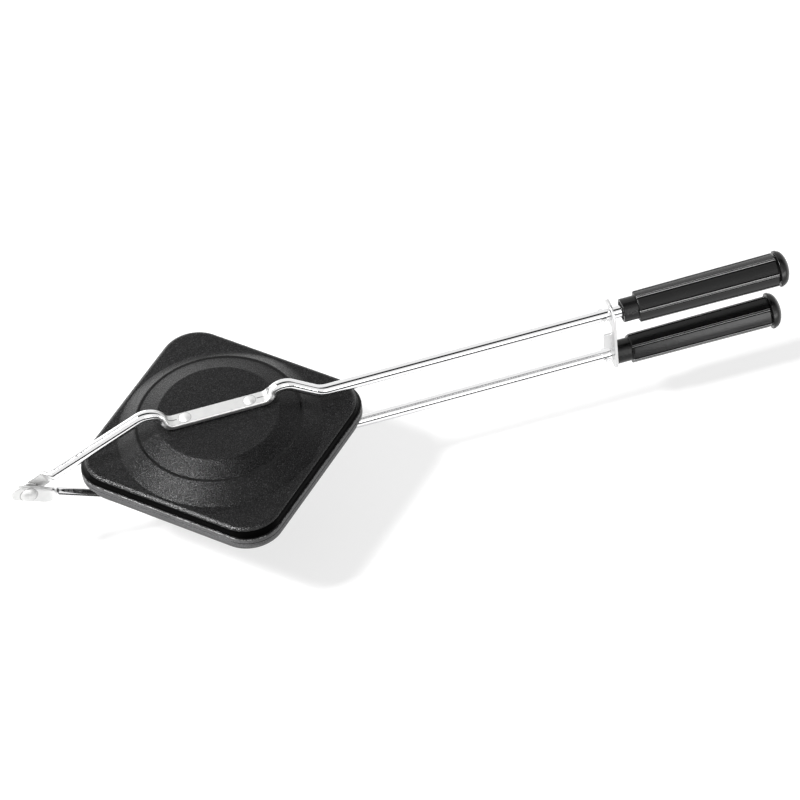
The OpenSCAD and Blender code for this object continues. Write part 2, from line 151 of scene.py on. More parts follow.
# %% Rings to a skin, with its faces outwards
def shell(rings, joined=False, finishes=None):
    """Joins rings of points, an array of rows x points x 3, into one closed skin.

    Face i, j runs from point j to j + 1 of ring i and on to ring i + 1. finishes gives the
    material number of each band between two rings, or of each face of each band.
    """
    rows, around = rings.shape[:2]
    index = np.arange(rows * around).reshape(rows, around)
    beside = np.roll(index, -1, axis=1)
    above, above_beside = np.roll(index, -1, axis=0), np.roll(beside, -1, axis=0)
    quads = np.stack([index, beside, above_beside, above], axis=-1)
    bands = np.zeros(rows, int) if finishes is None else np.asarray(finishes, int)
    bands = np.broadcast_to(bands.reshape(rows, -1), (rows, around))
    points = rings.reshape(-1, 3)
    if joined:
        tris = np.zeros((0, 3), int)
        quads, marks = quads.reshape(-1, 4), bands.ravel()
    else:
        points = np.vstack([points, rings[0].mean(0), rings[-1].mean(0)])
        ends = np.array([rows * around, rows * around + 1])
        tris = np.concatenate([
            np.stack([np.full(around, ends[0]), beside[0], index[0]], axis=-1),
            np.stack([np.full(around, ends[1]), index[-1], beside[-1]], axis=-1),
        ])
        quads, marks = quads[:-1].reshape(-1, 4), bands[:-1].ravel()
        marks = np.concatenate([marks, bands[0], bands[-1]])
    a, b, c, d = (points[quads[:, k]] for k in range(4))
    volume = np.einsum("ij,ij->", a, np.cross(b, c)) + np.einsum("ij,ij->", a, np.cross(c, d))
    if len(tris):
        a, b, c = (points[tris[:, k]] for k in range(3))
        volume += np.einsum("ij,ij->", a, np.cross(b, c))
    if volume < 0:
        quads, tris = quads[:, ::-1], tris[:, ::-1]
    return points, quads, tris, marks


# %% Skins to an object that rides on its body
def put_piece(name, shells, materials, node, sharp=40):
    """Makes one object of closed skins, in place of the solid node of the same piece."""
    points, faces, marks, start = [], [], [], 0
    for skin_points, quads, tris, skin_marks in shells:
        points.append(skin_points)
        faces += (quads + start).tolist() + (tris + start).tolist()
        marks.append(skin_marks)
        start += len(skin_points)
    mesh = bpy.data.meshes.new(name)
    mesh.from_pydata((np.vstack(points) / 1000).tolist(), [], faces)
    for material in materials:
        mesh.materials.append(material)
    mesh.polygons.foreach_set("material_index", np.concatenate(marks).astype(np.int32))
    mesh.shade_smooth()
    mesh.set_sharp_from_angle(angle=np.radians(sharp))
    mesh.update()
    piece = bpy.data.objects.new(name, mesh)
    bpy.context.scene.collection.objects.link(piece)
    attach(piece, frame["nodes"][node]["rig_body"])
    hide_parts(node)
    print(f"{name}: {len(faces)} faces, {np.ptp(np.vstack(points), axis=0).round(1)} mm")


# %% [markdown]
# ## Rounded profiles
#
# Pressed sheet, forged steel and moulded plastic have no knife edges. A profile is written
# as its sharp corners with a radius for each, and this helper swaps every corner for a small
# arc. It also sets one more point just beside each end of the arc. These keep the flat
# stretches flat when the faces are shaded smoothly.

# %% Corners to arcs
def rounded(corners, radii, closed=False, steps=5, beside=0.08):
    """Profile through corners, each swapped for an arc of its radius.

    An arc starts radius x tan(half the turn) before its corner and ends as far after it. Its
    points lie radius from a centre on the line that halves the corner.
    """
    corners = np.asarray(corners, float)
    before, after = np.roll(corners, 1, axis=0), np.roll(corners, -1, axis=0)
    profile = []
    for k, (corner, radius) in enumerate(zip(corners, radii)):
        if radius == 0 or (not closed and k in (0, len(corners) - 1)):
            profile.append(corner[None])
            continue
        inward = (corner - before[k]) / np.linalg.norm(corner - before[k])
        outward = (after[k] - corner) / np.linalg.norm(after[k] - corner)
        bend = np.arctan2(inward[0] * outward[1] - inward[1] * outward[0], inward @ outward)
        take = radius * np.tan(abs(bend) / 2)
        side = np.sign(bend) * np.array([-inward[1], inward[0]])
        centre = corner - take * inward + radius * side
        angle = np.linspace(0, abs(bend), steps + 1)[:, None]
        arc = centre - radius * side * np.cos(angle) + radius * inward * np.sin(angle)
        profile.append(np.vstack([arc[0] - beside * inward, arc, arc[-1] + beside * outward]))
    return np.vstack(profile)


# %% A turned piece
def turned_rings(profile, around=96):
    """Rings of a profile of [radius, height] turned about the third axis."""
    angle = np.linspace(0, 2 * np.pi, around, endpoint=False)
    radius, height = profile[:, 0, None], profile[:, 1, None]
    return np.stack([
        radius * np.cos(angle), radius * np.sin(angle), height + 0 * angle
    ], axis=-1)


def dome_profile(base, rise, steps=9):
    """Profile of a shallow cap: an arc of a sphere that is base wide and rise high.

    The sphere's radius is (base squared / 4 + rise squared) / (2 x rise).
    """
    radius = (base**2 / 4 + rise**2) / (2 * rise)
    angle = np.linspace(0.04, np.arcsin(min(1.0, base / 2 / radius)), steps)
    return np.stack([radius * np.sin(angle), rise - radius * (1 - np.cos(angle))], axis=-1)


# %% [markdown]
# ## Finishes
#
# A finish is a shader with its own small variations: grain in a coating, faint cloud in
# plated steel, a leathery skin on moulded plastic. An image could carry these, but nodes
# that read the object's own coordinates keep the grain at its real size on every piece.

# %% Helpers for shaders
def new_finish(name):
    """A material with its node tree, its principled shader and object coordinates."""
    material = bpy.data.materials.new(name)
    material.use_nodes = True
    tree = material.node_tree
    shader = tree.nodes["Principled BSDF"]
    place = tree.nodes.new("ShaderNodeTexCoord").outputs["Object"]
    return material, tree, shader, place


def fill(tree, socket, value):
    """Links another socket's value to the socket, or sets a plain one."""
    if isinstance(value, bpy.types.NodeSocket):
        tree.links.new(value, socket)
    else:
        socket.default_value = value


def add_node(tree, kind, settings=None, **links):
    """Adds a node, sets its options, and fills its inputs by name, or by number as n0, n1."""
    made = tree.nodes.new(kind)
    for option, value in (settings or {}).items():
        setattr(made, option, value)
    for key, value in links.items():
        by_number = key[0] == "n" and key[1:].isdigit()
        fill(tree, made.inputs[int(key[1:]) if by_number else key], value)
    return made


def arithmetic(tree, operation, *values):
    """The result of one operation on sockets or plain numbers."""
    numbered = {f"n{k}": value for k, value in enumerate(values)}
    return add_node(tree, "ShaderNodeMath", {"operation": operation}, **numbered).outputs[0]


def speckle(tree, place, size, detail=2.0, roughness=0.5):
    """Noise whose blobs are about size millimetres across."""
    return add_node(tree, "ShaderNodeTexNoise", Vector=place, Scale=1000 / size, Detail=detail,
                    Roughness=roughness).outputs["Fac"]


def ramp(tree, value, low, high, to_low=0.0, to_high=1.0):
    """Maps low..high to to_low..to_high, and holds the ends."""
    made = add_node(tree, "ShaderNodeMapRange", {"clamp": True}, Value=value)
    ends = {"From Min": low, "From Max": high, "To Min": to_low, "To Max": to_high}
    for key, number in ends.items():
        made.inputs[key].default_value = number
    return made.outputs["Result"]


def blend_colours(tree, share, first, second):
    """A colour a share of the way from first to second."""
    first, second = ((*c, 1.0) if isinstance(c, tuple) else c for c in (first, second))
    made = add_node(tree, "ShaderNodeMix", {"data_type": "RGBA"}, n0=share, n6=first, n7=second)
    return made.outputs[2]


def grey(level):
    """A neutral colour."""
    return (level, level, level)


def bump(tree, shader, height, depth, strength=1.0):
    """Raises the surface by height x depth, with depth in millimetres."""
    made = add_node(tree, "ShaderNodeBump", Height=height, Distance=depth / 1000,
                    Strength=strength)
    tree.links.new(made.outputs["Normal"], shader.inputs["Normal"])


# %% [markdown]
# ## The pans' coating
#
# The pans are pressed from sheet and sprayed with a dark non-stick coat. Its grain is under
# a millimetre: low bumps, with faint metal flakes here and there. Fine noise gives the
# bumps, and a second noise, kept only at its peaks, gives the flakes.
#
# Along the shoulder the coat is rubbed to a gloss. Below it, above the lip, the upper pan's wall
# is painted very black and mirrors little, as painted shade, and the creases get the same painted
# shade. The lip, and the lower pan's wall, are painted grey satin as painted light, and the lip's
# upper edge has painted glints. These are bands of one pressing, so they are separate materials on
# bands of faces, which keeps each one's gloss a plain number.

# %% Grainy coat, and the painted shade, painted light and painted glints of the wall and lip
def make_grainy_coat(name, gloss):
    """The sprayed coat: near black, smoother on the tops of its grain, with metal flakes."""
    material, tree, shader, place = new_finish(name)
    grain = speckle(tree, place, 0.72, 2.0, 0.6)
    cloud = speckle(tree, place, 22.0, 2.0)
    flakes = ramp(tree, speckle(tree, place, 0.42, 0.0), 0.62, 0.72)
    dark = blend_colours(tree, cloud, (0.0010, 0.0010, 0.0011), (0.003, 0.003, 0.0031))
    colour = blend_colours(tree, flakes, dark, (0.05, 0.05, 0.051))
    tree.links.new(colour, shader.inputs["Base Color"])
    tree.links.new(ramp(tree, flakes, 0.0, 1.0, 0.0, 0.8), shader.inputs["Metallic"])
    tree.links.new(ramp(tree, grain, 0.35, 0.65, 0.36, 0.22), shader.inputs["Roughness"])
    shader.inputs["Specular IOR Level"].default_value = gloss
    bump(tree, shader, grain, 0.30, 1.0)
    return material


def make_dark_shade_finish(name, refraction):
    """Smooth black painted shade, whose refraction sets how little of the room it mirrors."""
    material, tree, shader, place = new_finish(name)
    cloud = speckle(tree, place, 9.0)
    tree.links.new(blend_colours(tree, cloud, grey(0.0005), grey(0.0015)),
                   shader.inputs["Base Color"])
    tree.links.new(ramp(tree, cloud, 0.3, 0.7, 0.22, 0.34), shader.inputs["Roughness"])
    shader.inputs["IOR"].default_value = refraction
    bump(tree, shader, speckle(tree, place, 1.0), 0.03, 0.3)
    return material


def make_painted_light_satin(name, first, second):
    """Grey satin from the first colour to the second, by its grain and by a faint cloud, used as
    painted light.
    """
    material, tree, shader, place = new_finish(name)
    grain = speckle(tree, place, 0.7, 2.0)
    cloud = speckle(tree, place, 14.0, 3.0)
    share = arithmetic(tree, "MULTIPLY_ADD", ramp(tree, grain, 0.35, 0.65), 0.65,
                       ramp(tree, cloud, 0.3, 0.7, 0.0, 0.35))
    tree.links.new(blend_colours(tree, share, first, second), shader.inputs["Base Color"])
    tree.links.new(ramp(tree, grain, 0.3, 0.7, 0.34, 0.52), shader.inputs["Roughness"])
    shader.inputs["Specular IOR Level"].default_value = 0.35
    bump(tree, shader, grain, 0.10, 0.8)
    return material


def make_lip_glint_paint():
    """The lip's upper edge, painted with grey specks as glints: a painted highlight."""
    material, tree, shader, place = new_finish("lip_edge_painted_glint")
    specks = ramp(tree, speckle(tree, place, 1.1, 2.0), 0.40, 0.60)
    tree.links.new(blend_colours(tree, specks, grey(0.015), grey(0.15)),
                   shader.inputs["Base Color"])
    shader.inputs["Metallic"].default_value = 0.3
    shader.inputs["Roughness"].default_value = 0.35
    return material


grainy_coat = make_grainy_coat("pan_grainy_coat", 0.16)
rubbed_coat = make_grainy_coat("pan_rubbed_shoulder", 0.34)
# Painted shade on the upper pan's wall, below its shoulder.
painted_wall_shade = make_dark_shade_finish("pan_painted_shade_wall", 1.07)
# Painted shade in the creases: the seam, the ledge below the lip and the ledge on the dome.
painted_crease_shade = make_dark_shade_finish("pan_painted_shade_crease", 1.27)
# Painted light: the lips of both pans and the lower pan's wall are painted grey, as the floor's
# light makes them look.
painted_lip_light = make_painted_light_satin("pan_lip_painted_light", (0.028, 0.028, 0.029), (0.125, 0.125, 0.128))
painted_lower_wall_light = make_painted_light_satin("pan_lower_wall_painted_light", (0.017, 0.017, 0.018), (0.08, 0.08, 0.082))
# Painted highlight: glints along the lip's upper edge.
painted_edge_glint = make_lip_glint_paint()
print("pan finishes", sorted(material.name for material in bpy.data.materials))

# %% [markdown]
# ## The pans
#
# Each pan is a pressed sheet: a square with round corners, a leaning wall, a soft shoulder
# and a stepped round dome in the middle. It could be a lathed dome joined to a box, but then
# a seam shows where they meet. Here every point lies on one of a few hundred rays from the
# middle. A ring on the dome has one radius for all the rays, and a ring on the wall takes
# its radius from the rounded square, so one skin covers both forms.
#
# The pans stand on their corners along the rods, so the square is turned by an eighth.

# %% A rounded square, ray by ray
def square_reach(angle, half, corner):
    """How far a rounded square reaches along each ray.

    On a flat side it is half / cos(angle from the side's middle). On a corner, the ray meets
    a circle of radius corner whose centre is (half - corner) x root 2 out along the diagonal.
    """
    turn = (angle + np.pi / 4) % (np.pi / 2) - np.pi / 4
    side = half / np.cos(turn)
    off_diagonal = np.pi / 4 - np.abs(turn)
    out = (half - corner) * np.sqrt(2)
    depth = np.maximum(corner**2 - (out * np.sin(off_diagonal)) ** 2, 0)
    bend = out * np.cos(off_diagonal) + np.sqrt(depth)
    return np.where(np.abs(turn) <= np.arctan2(half - corner, half), side, bend)


# %% The pressing's profile
pan_side, sheet = 132.0, 1.8
rim_corner, shoulder_corner, shoulder_inset, shoulder_round = 21.0, 22.0, 1.4, 3.2
seam, lip_height, face, ledge, crown = 0.05, 3.0, 9.0, 17.8, 22.4

# The dome's corners are radii and levels. The wall's are insets from the rim, and levels.
dome_outside = rounded(
    [[0.6, crown], [36.0, crown], [47.5, ledge], [49.5, ledge], [60.5, face], [61.25, face]],
    [0, 2.2, 1.6, 1.5, 1.5, 0])
wall_outside = rounded(
    [[5.2, face], [1.967, face], [1.03, lip_height], [0.03, lip_height], [0.03, seam],
     [2.61, seam], [3.344, face - sheet], [5.2, face - sheet]],
    [0, shoulder_round, 0.25, 0.45, 0.25, 0.2, 1.4, 0], steps=7)
dome_inside = rounded(
    [[59.6, face - sheet], [58.7, face - sheet], [47.7, ledge - sheet], [45.7, ledge - sheet],
     [34.2, crown - sheet], [0.6, crown - sheet]],
    [0, 1.2, 1.2, 1.2, 2.0, 0])


def pan_rings(rays=400):
    """Rings of the pan, from the dome's top over the wall and back up the inside."""
    angle = np.linspace(0, 2 * np.pi, rays, endpoint=False)
    inset, height = wall_outside[:, 0, None], wall_outside[:, 1, None]
    lift = np.clip((height - lip_height) / (face - shoulder_round - lip_height), 0, 1)
    corner = rim_corner * (1 - lift) + (shoulder_corner + shoulder_inset) * lift - inset
    square = square_reach(angle[None] - np.pi / 4, pan_side / 2 - inset, corner)
    round_out = dome_outside[:, 0, None] + 0 * angle
    round_in = dome_inside[:, 0, None] + 0 * angle
    reach = np.concatenate([round_out, square, round_in])
    level = np.concatenate([dome_outside[:, 1], wall_outside[:, 1], dome_inside[:, 1]])
    return np.stack([
        reach * np.cos(angle), reach * np.sin(angle), level[:, None] + 0 * angle
    ], axis=-1)


# The places of a pan's finishes in its list of materials.
on_coat, on_wall, on_lip, on_crease, on_edge, on_shoulder = range(6)


def pan_bands(rows):
    """The finish of each of the rows of bands, from the dome's top to the dome's underside.

    A band's height and inset are the means of its two rings'. The first condition that holds
    gives the finish. The ledge between the dome's two slopes gets the creases' painted shade too.
    """
    first, seam_at = len(dome_outside), int(np.argmin(wall_outside[:, 1]))
    inset, level = ((wall_outside[:seam_at] + wall_outside[1:seam_at + 1]) / 2).T
    upright = (level < lip_height + 0.01) & (inset < 0.45)
    marks = np.full(rows, on_coat)
    marks[first:first + seam_at] = np.select(
        [upright & (level > lip_height - 0.35), level < 0.26, upright, level < lip_height + 0.3,
         level < 7.6, (level > 7.6) & (level < 8.9)],
        [on_edge, on_crease, on_lip, on_crease, on_wall, on_shoulder], on_coat)
    middle = (dome_outside[1:, 0] + dome_outside[:-1, 0]) / 2
    marks[:first - 1][(middle > 47.7) & (middle < 48.9)] = on_crease
    return marks


# %% Both pans
rings = pan_rings()
# The two pans are one pressing: the upper pan's wall gets painted shade, the lower pan's wall
# painted light.
for arm, wall in (("upper", painted_wall_shade), ("lower", painted_lower_wall_light)):
    put_piece(f"{arm}_pan_pressing", [shell(rings * flips[arm], finishes=pan_bands(len(rings)))],
              [grainy_coat, wall, painted_lip_light, painted_crease_shade, painted_edge_glint, rubbed_coat],
              f"{arm}_pan")

# %% [markdown]
# ## Plated steel
#
# The rods are bright zinc or chrome plate over drawn wire, with faint clouding. The strap
# and the ears were hammered flat, which leaves them duller. The two looks meet along the
# rod, so one material reads how far it lies from the hinge and from the pan, and turns its
# roughness up there. Thin creases run along the strap from each rivet to its end, painted
# dark as painted shade, and a grey ring of painted shade lies round each rivet's head, where
# it meets the steel.

# %% Rod, rivet and latch steel
def painted_shade_ring(tree, across, beside, middle, radius):
    """A mask for painted shade, strongest on a thin ring of the radius round the middle, both in
    metres.
    """
    off = arithmetic(tree, "SUBTRACT", across, middle)
    flat = add_node(tree, "ShaderNodeCombineXYZ", n0=off, n1=beside).outputs[0]
    length = add_node(tree, "ShaderNodeVectorMath", {"operation": "LENGTH"}, n0=flat)
    gap = arithmetic(tree, "SUBTRACT", length.outputs["Value"], radius)
    return ramp(tree, arithmetic(tree, "ABSOLUTE", gap), 0.0001, 0.0004, 0.6, 0.0)


def make_rod_steel():
    """Bright wire, duller where it was forged, with creases, and painted shade in them and round
    the rivets' heads.
    """
    material, tree, shader, place = new_finish("rod_plated_steel")
    where = add_node(tree, "ShaderNodeSeparateXYZ", Vector=place)
    x, y, z = where.outputs
    along = arithmetic(tree, "ABSOLUTE", x)
    strap = ramp(tree, along, 0.031, 0.037, 1.0, 0.0)
    ear = ramp(tree, x, -0.106, -0.100, 1.0, 0.0)
    forged = arithmetic(tree, "MAXIMUM", strap, ear)
    cloud = speckle(tree, place, 7.0, 3.0)
    colour = blend_colours(tree, cloud, (0.80, 0.80, 0.81), (0.90, 0.90, 0.90))
    dull = blend_colours(tree, cloud, grey(0.62), (0.77, 0.77, 0.76))
    shader.inputs["Metallic"].default_value = 1.0
    fine = ramp(tree, speckle(tree, place, 1.6, 3.0), 0.3, 0.7, 0.04, 0.12)
    tree.links.new(arithmetic(tree, "MULTIPLY_ADD", forged, 0.34, fine),
                   shader.inputs["Roughness"])
    line = ramp(tree, arithmetic(tree, "ABSOLUTE", y), 0.0001, 0.0005, 1.0, 0.0)
    from_rivet = ramp(tree, along, 0.0235, 0.0245, 0.0, 1.0)
    crease = arithmetic(tree, "MULTIPLY", arithmetic(tree, "MULTIPLY", line, from_rivet), strap)
    # Painted shade: the creases, and a ring where each rivet's head meets the steel, are painted
    # dark grey.
    rings = arithmetic(tree, "MAXIMUM", painted_shade_ring(tree, along, y, rivet_x / 1000, 0.0036),
                       painted_shade_ring(tree, x, z, hinge_x / 1000, 0.0052))
    painted_rod_shade = arithmetic(tree, "MAXIMUM", crease, rings)
    steel = blend_colours(tree, forged, colour, dull)
    tree.links.new(blend_colours(tree, painted_rod_shade, steel, grey(0.16)), shader.inputs["Base Color"])
    dents = arithmetic(tree, "MULTIPLY", speckle(tree, place, 3.0, 2.0), forged)
    bump(tree, shader, arithmetic(tree, "MULTIPLY_ADD", crease, -1.5, dents), 0.25, 0.7)
    return material


def make_plain_steel(name, first, second, rough_low, rough_high):
    """Clouded steel with shallow dents, between two colours and two roughnesses."""
    material, tree, shader, place = new_finish(name)
    cloud = speckle(tree, place, 4.0, 3.0)
    tree.links.new(blend_colours(tree, cloud, first, second), shader.inputs["Base Color"])
    shader.inputs["Metallic"].default_value = 1.0
    tree.links.new(ramp(tree, cloud, 0.3, 0.7, rough_low, rough_high), shader.inputs["Roughness"])
    bump(tree, shader, speckle(tree, place, 2.2, 2.0), 0.08, 0.6)
    return material


rod_steel = make_rod_steel()
rivet_steel = make_plain_steel("rivet_steel", grey(0.66), (0.76, 0.76, 0.75), 0.46, 0.58)
latch_steel = make_plain_steel("latch_steel", grey(0.62), grey(0.74), 0.28, 0.40)
hidden_steel = make_plain_steel("retainer_steel", (0.55, 0.55, 0.56), grey(0.68), 0.3, 0.5)

# %% [markdown]
# ## The rods
#
# A rod starts as straight wire. One end is hammered to an ear for the hinge, the middle is
# flattened to a strap, and the wire is bent up over the pan's edge on both sides. A curve
# with a bevel could follow the bends, but its section stays the same all the way. Here the
# section is carried along the bends and changes as it goes: edge radius, half height, half
# width and sideways shift run smoothly from wire to strap and ear.

# %% The bent centre line
wire, strap_level, shank_level = 7.1, 24.2, 17.1
strap_half, hinge_hump, grip_hump = 29.5, 14.15, 9.2
bends = np.array([
    [hinge_x, 0], [-38.8, strap_level + hinge_hump], [-strap_half, strap_level],
    [strap_half, strap_level], [39.6, strap_level + grip_hump], [61.6, shank_level],
    [stop_x, shank_level],
])
bend_radii = np.array([0, 10, 6, 6, 8.5, 14, 0.0])
runs = np.diff(bends, axis=0)
headings = np.arctan2(runs[:, 1], runs[:, 0])
turns = np.concatenate([[0], np.diff(headings), [0]])
takes = bend_radii * np.tan(np.abs(turns) / 2)
lengths = np.linalg.norm(runs, axis=1) - takes[:-1] - takes[1:]


def on_run(i, s):
    """Places on straight run i, s past the bend before it: x, z and heading."""
    s = np.atleast_1d(s)
    at = bends[i] + (takes[i] + s)[:, None] * [np.cos(headings[i]), np.sin(headings[i])]
    return np.column_stack([at, np.full(len(s), headings[i])])


def on_bend(i, step=3.0):
    """Places round bend i: the centre line is an arc that starts where its run ends."""
    side, before = np.sign(turns[i]), headings[i - 1]
    foot = bends[i] - takes[i] * np.array([np.cos(before), np.sin(before)])
    centre = foot + side * bend_radii[i] * np.array([-np.sin(before), np.cos(before)])
    now = before + np.linspace(0, 1, int(np.degrees(abs(turns[i])) / step) + 2) * turns[i]
    at = centre - side * bend_radii[i] * np.column_stack([-np.sin(now), np.cos(now)])
    return np.column_stack([at, now])


# %% Sections of wire, strap and ear
# Edge radius, half height and half width between the edges, sideways shift, flatness.
forged_edge = 1.2
wire_section = np.array([wire / 2, 0, 0, 0, 0])
strap_section = np.array([forged_edge, 0.6, 3.5, 0, 1])
ear_half, ear_thick, ear_inner, ear_tip, ear_root, ear_blend = 5.5, 3.2, 0.58, 10.5, 12.5, 6


def ear_section(side, half_height):
    """Sections of the ear: its edges stay round, and side says which way it is set off."""
    edge = np.minimum(forged_edge, 0.96 * half_height)
    rest = np.ones_like(half_height)
    return np.column_stack([edge, half_height - edge, ear_thick / 2 - edge,
                            side * (ear_inner + ear_thick / 2) * rest, rest])


def eased(first, second, share):
    """Sections that run from first to second along half a cosine wave."""
    weight = (1 - np.cos(np.pi * np.atleast_1d(share))) / 2
    return first * (1 - weight[:, None]) + second * weight[:, None]


def rod_stations(side, rod_end):
    """All the places along a rod, each with its section."""
    tip = np.radians(np.linspace(8, 90, 14))
    share = np.linspace(0, 1, 13)
    full_ear = ear_section(side, np.array([ear_half]))
    parts = [
        (on_run(0, ear_half * (1 - np.cos(tip)) - ear_tip),
         ear_section(side, ear_half * np.sin(tip))),
        (on_run(0, ear_root + ear_blend * share), eased(full_ear, wire_section, share)),
        (on_bend(1), wire_section),
        (on_run(1, lengths[1] * share[1:-1]), eased(wire_section, strap_section, share[1:-1])),
        (on_bend(2), strap_section),
        (on_bend(3), strap_section),
        (on_run(3, lengths[3] * share[1:-1]), eased(strap_section, wire_section, share[1:-1])),
        (on_bend(4), wire_section),
        (on_bend(5), wire_section),
        (on_run(5, np.array([0.5, lengths[5] + rod_end - bends[-1, 0]])), wire_section),
    ]
    places = np.vstack([at for at, _ in parts])
    sections = np.vstack([np.broadcast_to(section, (len(at), 5)) for at, section in parts])
    return places, sections


def rod_rings(side, rod_end, quarter=16):
    """Rings of the rod: four quarter arcs of the edge radius, set apart by the flats."""
    places, sections = rod_stations(side, rod_end)
    number, step = np.divmod(np.arange(4 * quarter), quarter)
    on_round = (number + (step + 0.5) / quarter) * np.pi / 2
    on_flat = (number + step / (quarter - 1)) * np.pi / 2
    edge, tall, wide, shift, flat = (sections[:, k, None] for k in range(5))
    angle = on_round * (1 - flat) + on_flat * flat
    rise = np.where((number == 0) | (number == 3), 1, -1) * tall + edge * np.cos(angle)
    out = shift + np.where(number < 2, 1, -1) * wide + edge * np.sin(angle)
    x, z, heading = (places[:, k, None] for k in range(3))
    return np.stack([x - rise * np.sin(heading), out, z + rise * np.cos(heading)], axis=-1)


# %% The pinched stops
def stop_rings(length=4.0, width=11.0, thick=1.6, edge=0.5, around=48):
    """Two small fins squeezed out of the wire: a flat slug with round ends and round edges.

    Each level is a stadium drawn in by edge x (1 - sin) as it nears the top or the bottom.
    """
    angle = np.linspace(0, 2 * np.pi, around, endpoint=False) + np.pi / around
    tilt = np.radians(np.linspace(0, 90, 6))
    inset = np.concatenate([edge * (1 - np.sin(tilt)), edge * (1 - np.sin(tilt[::-1]))])[:, None]
    level = np.concatenate([-(thick / 2) + edge * (1 - np.cos(tilt)),
                            (thick / 2) - edge * (1 - np.cos(tilt[::-1]))])
    reach = length / 2 - inset
    return np.stack([
        stop_x + length / 2 + reach * np.cos(angle),
        reach * np.sin(angle) + np.sign(np.sin(angle)) * (width - length) / 2,
        shank_level + level[:, None] + 0 * angle,
    ], axis=-1)


# %% Both rods
grip_fronts = {"upper": 246.2, "lower": 240.6}
rod_inside = 89.4
for arm, side in (("upper", 1), ("lower", -1)):
    rings = rod_rings(side, grip_fronts[arm] + rod_inside)
    put_piece(f"{arm}_forged_rod",
              [shell(rings * flips[arm]), shell(stop_rings() * flips[arm])],
              [rod_steel], f"{arm}_rod")

# %% [markdown]
# ## Rivets and the washer
#
# Four rivets clamp the straps to the pans, and a thicker one is the hinge. A rivet is a
# turned piece: a low round head, a shank and a foot. A sphere cut in half would be too
# tall, so the head is an arc worked out from its width and its height.

# %% Turned rivets
def rivet_profile(bottom, foot_width, foot_thick, shank, top, head_width, head_rise):
    """Profile of a rivet, from the middle of its head down to the middle of its foot."""
    head = dome_profile(head_width, head_rise)[:-1] + [0, top]
    rest = rounded([[head_width / 2, top], [shank / 2, top], [shank / 2, bottom + foot_thick],
                    [foot_width / 2, bottom + foot_thick], [foot_width / 2, bottom], [0.3, bottom]],
                   [0, 0.1, 0, 0.2, 0.2, 0], steps=3, beside=0.04)
    return np.vstack([head, rest])


pan_rivet = turned_rings(rivet_profile(
    bottom=19.7, foot_width=8.4, foot_thick=0.9, shank=4.8, top=26.0, head_width=7.0,
    head_rise=0.8), 64)
for arm, flip in flips.items():
    for place, x in (("hinge_side", -rivet_x), ("grip_side", rivet_x)):
        put_piece(f"{arm}_{place}_pan_rivet", [shell((pan_rivet + [x, 0, 0]) * flip)],
                  [rivet_steel], f"{arm}_rivet_{place}")

# %% The hinge's rivet and washer
def on_hinge(rings):
    """Lays a turned piece on its side at the hinge, with its top towards the front."""
    return np.stack([hinge_x + rings[..., 0], -rings[..., 2], rings[..., 1]], axis=-1)


grip_half, head_thick = 3.86, 1.3  # half of what the hinge rivet holds, and its rear head
hinge_rings = turned_rings(rivet_profile(
    bottom=-grip_half - head_thick, foot_width=10, foot_thick=head_thick, shank=5,
    top=grip_half, head_width=10, head_rise=2.6), 72)
put_piece("domed_hinge_rivet", [shell(on_hinge(hinge_rings))], [rivet_steel],
          "hinge_rivet")

washer_bore, washer_edge, washer_half = 2.53, 6.25, 0.5
washer_loop = rounded([[washer_bore, -washer_half], [washer_edge, -washer_half],
                       [washer_edge, washer_half], [washer_bore, washer_half]],
                      [0.1, 0.2, 0.2, 0.1], closed=True, steps=3, beside=0.04)
put_piece("hinge_spacer", [shell(on_hinge(turned_rings(washer_loop, 72)), joined=True)],
          [rivet_steel], "hinge_washer")

# %% [markdown]
# ## Moulded grips
#
# The grips are black plastic. Six thin ribs run the whole length between panels that swell a
# little, the body widens to the rear, and a smooth collar in front has an open socket with
# small ribs that bite on the rod. The section is a polygon with a step at each rib. The same
# polygon is scaled and carried to the rear, so ribs and panels stay in line.
#
# The ribs' edges are painted a lighter grey as a painted highlight, and a dark strip of painted
# shade lies beside each of them. Both are narrow stripes of faces with a material of their own.

# %% Black plastic
def make_grip_plastic():
    """Black plastic with a fine leathery skin."""
    material, tree, shader, place = new_finish("grip_black_plastic")
    skin = speckle(tree, place, 0.9, 2.0, 0.6)
    cloud = speckle(tree, place, 12.0)
    tree.links.new(blend_colours(tree, cloud, grey(0.002), grey(0.005)),
                   shader.inputs["Base Color"])
    tree.links.new(ramp(tree, cloud, 0.3, 0.7, 0.24, 0.28), shader.inputs["Roughness"])
    shader.inputs["Specular IOR Level"].default_value = 0.30
    bump(tree, shader, skin, 0.12, 0.8)
    return material


def make_rib_highlight_paint():
    """The same plastic painted grey, as a painted highlight on the ribs' edges."""
    material, tree, shader, place = new_finish("grip_rib_painted_highlight")
    cloud = speckle(tree, place, 6.0)
    tree.links.new(blend_colours(tree, cloud, grey(0.20), grey(0.32)),
                   shader.inputs["Base Color"])
    shader.inputs["Roughness"].default_value = 0.3
    return material


grip_plastic, painted_rib_highlight = make_grip_plastic(), make_rib_highlight_paint()
# Painted shade: a dark strip on the panel beside each rib.
painted_rib_shade = make_dark_shade_finish("grip_rib_painted_shade", 1.10)

# %% The ribbed section
collar_length, collar_width, body_length, front_width, rear_width = 9.2, 14.2, 86.5, 19.0, 20.4
rib_width, rib_height, rib_count, shade_strip_width, bulge = 1.5, 0.5, 6, 0.70, 0.3
grip_rear = collar_length + body_length
half_panel = front_width / 2 * np.sin(np.pi / rib_count) - rib_width / 2
panel_depth = np.sqrt((front_width / 2) ** 2 - half_panel**2) - rib_height


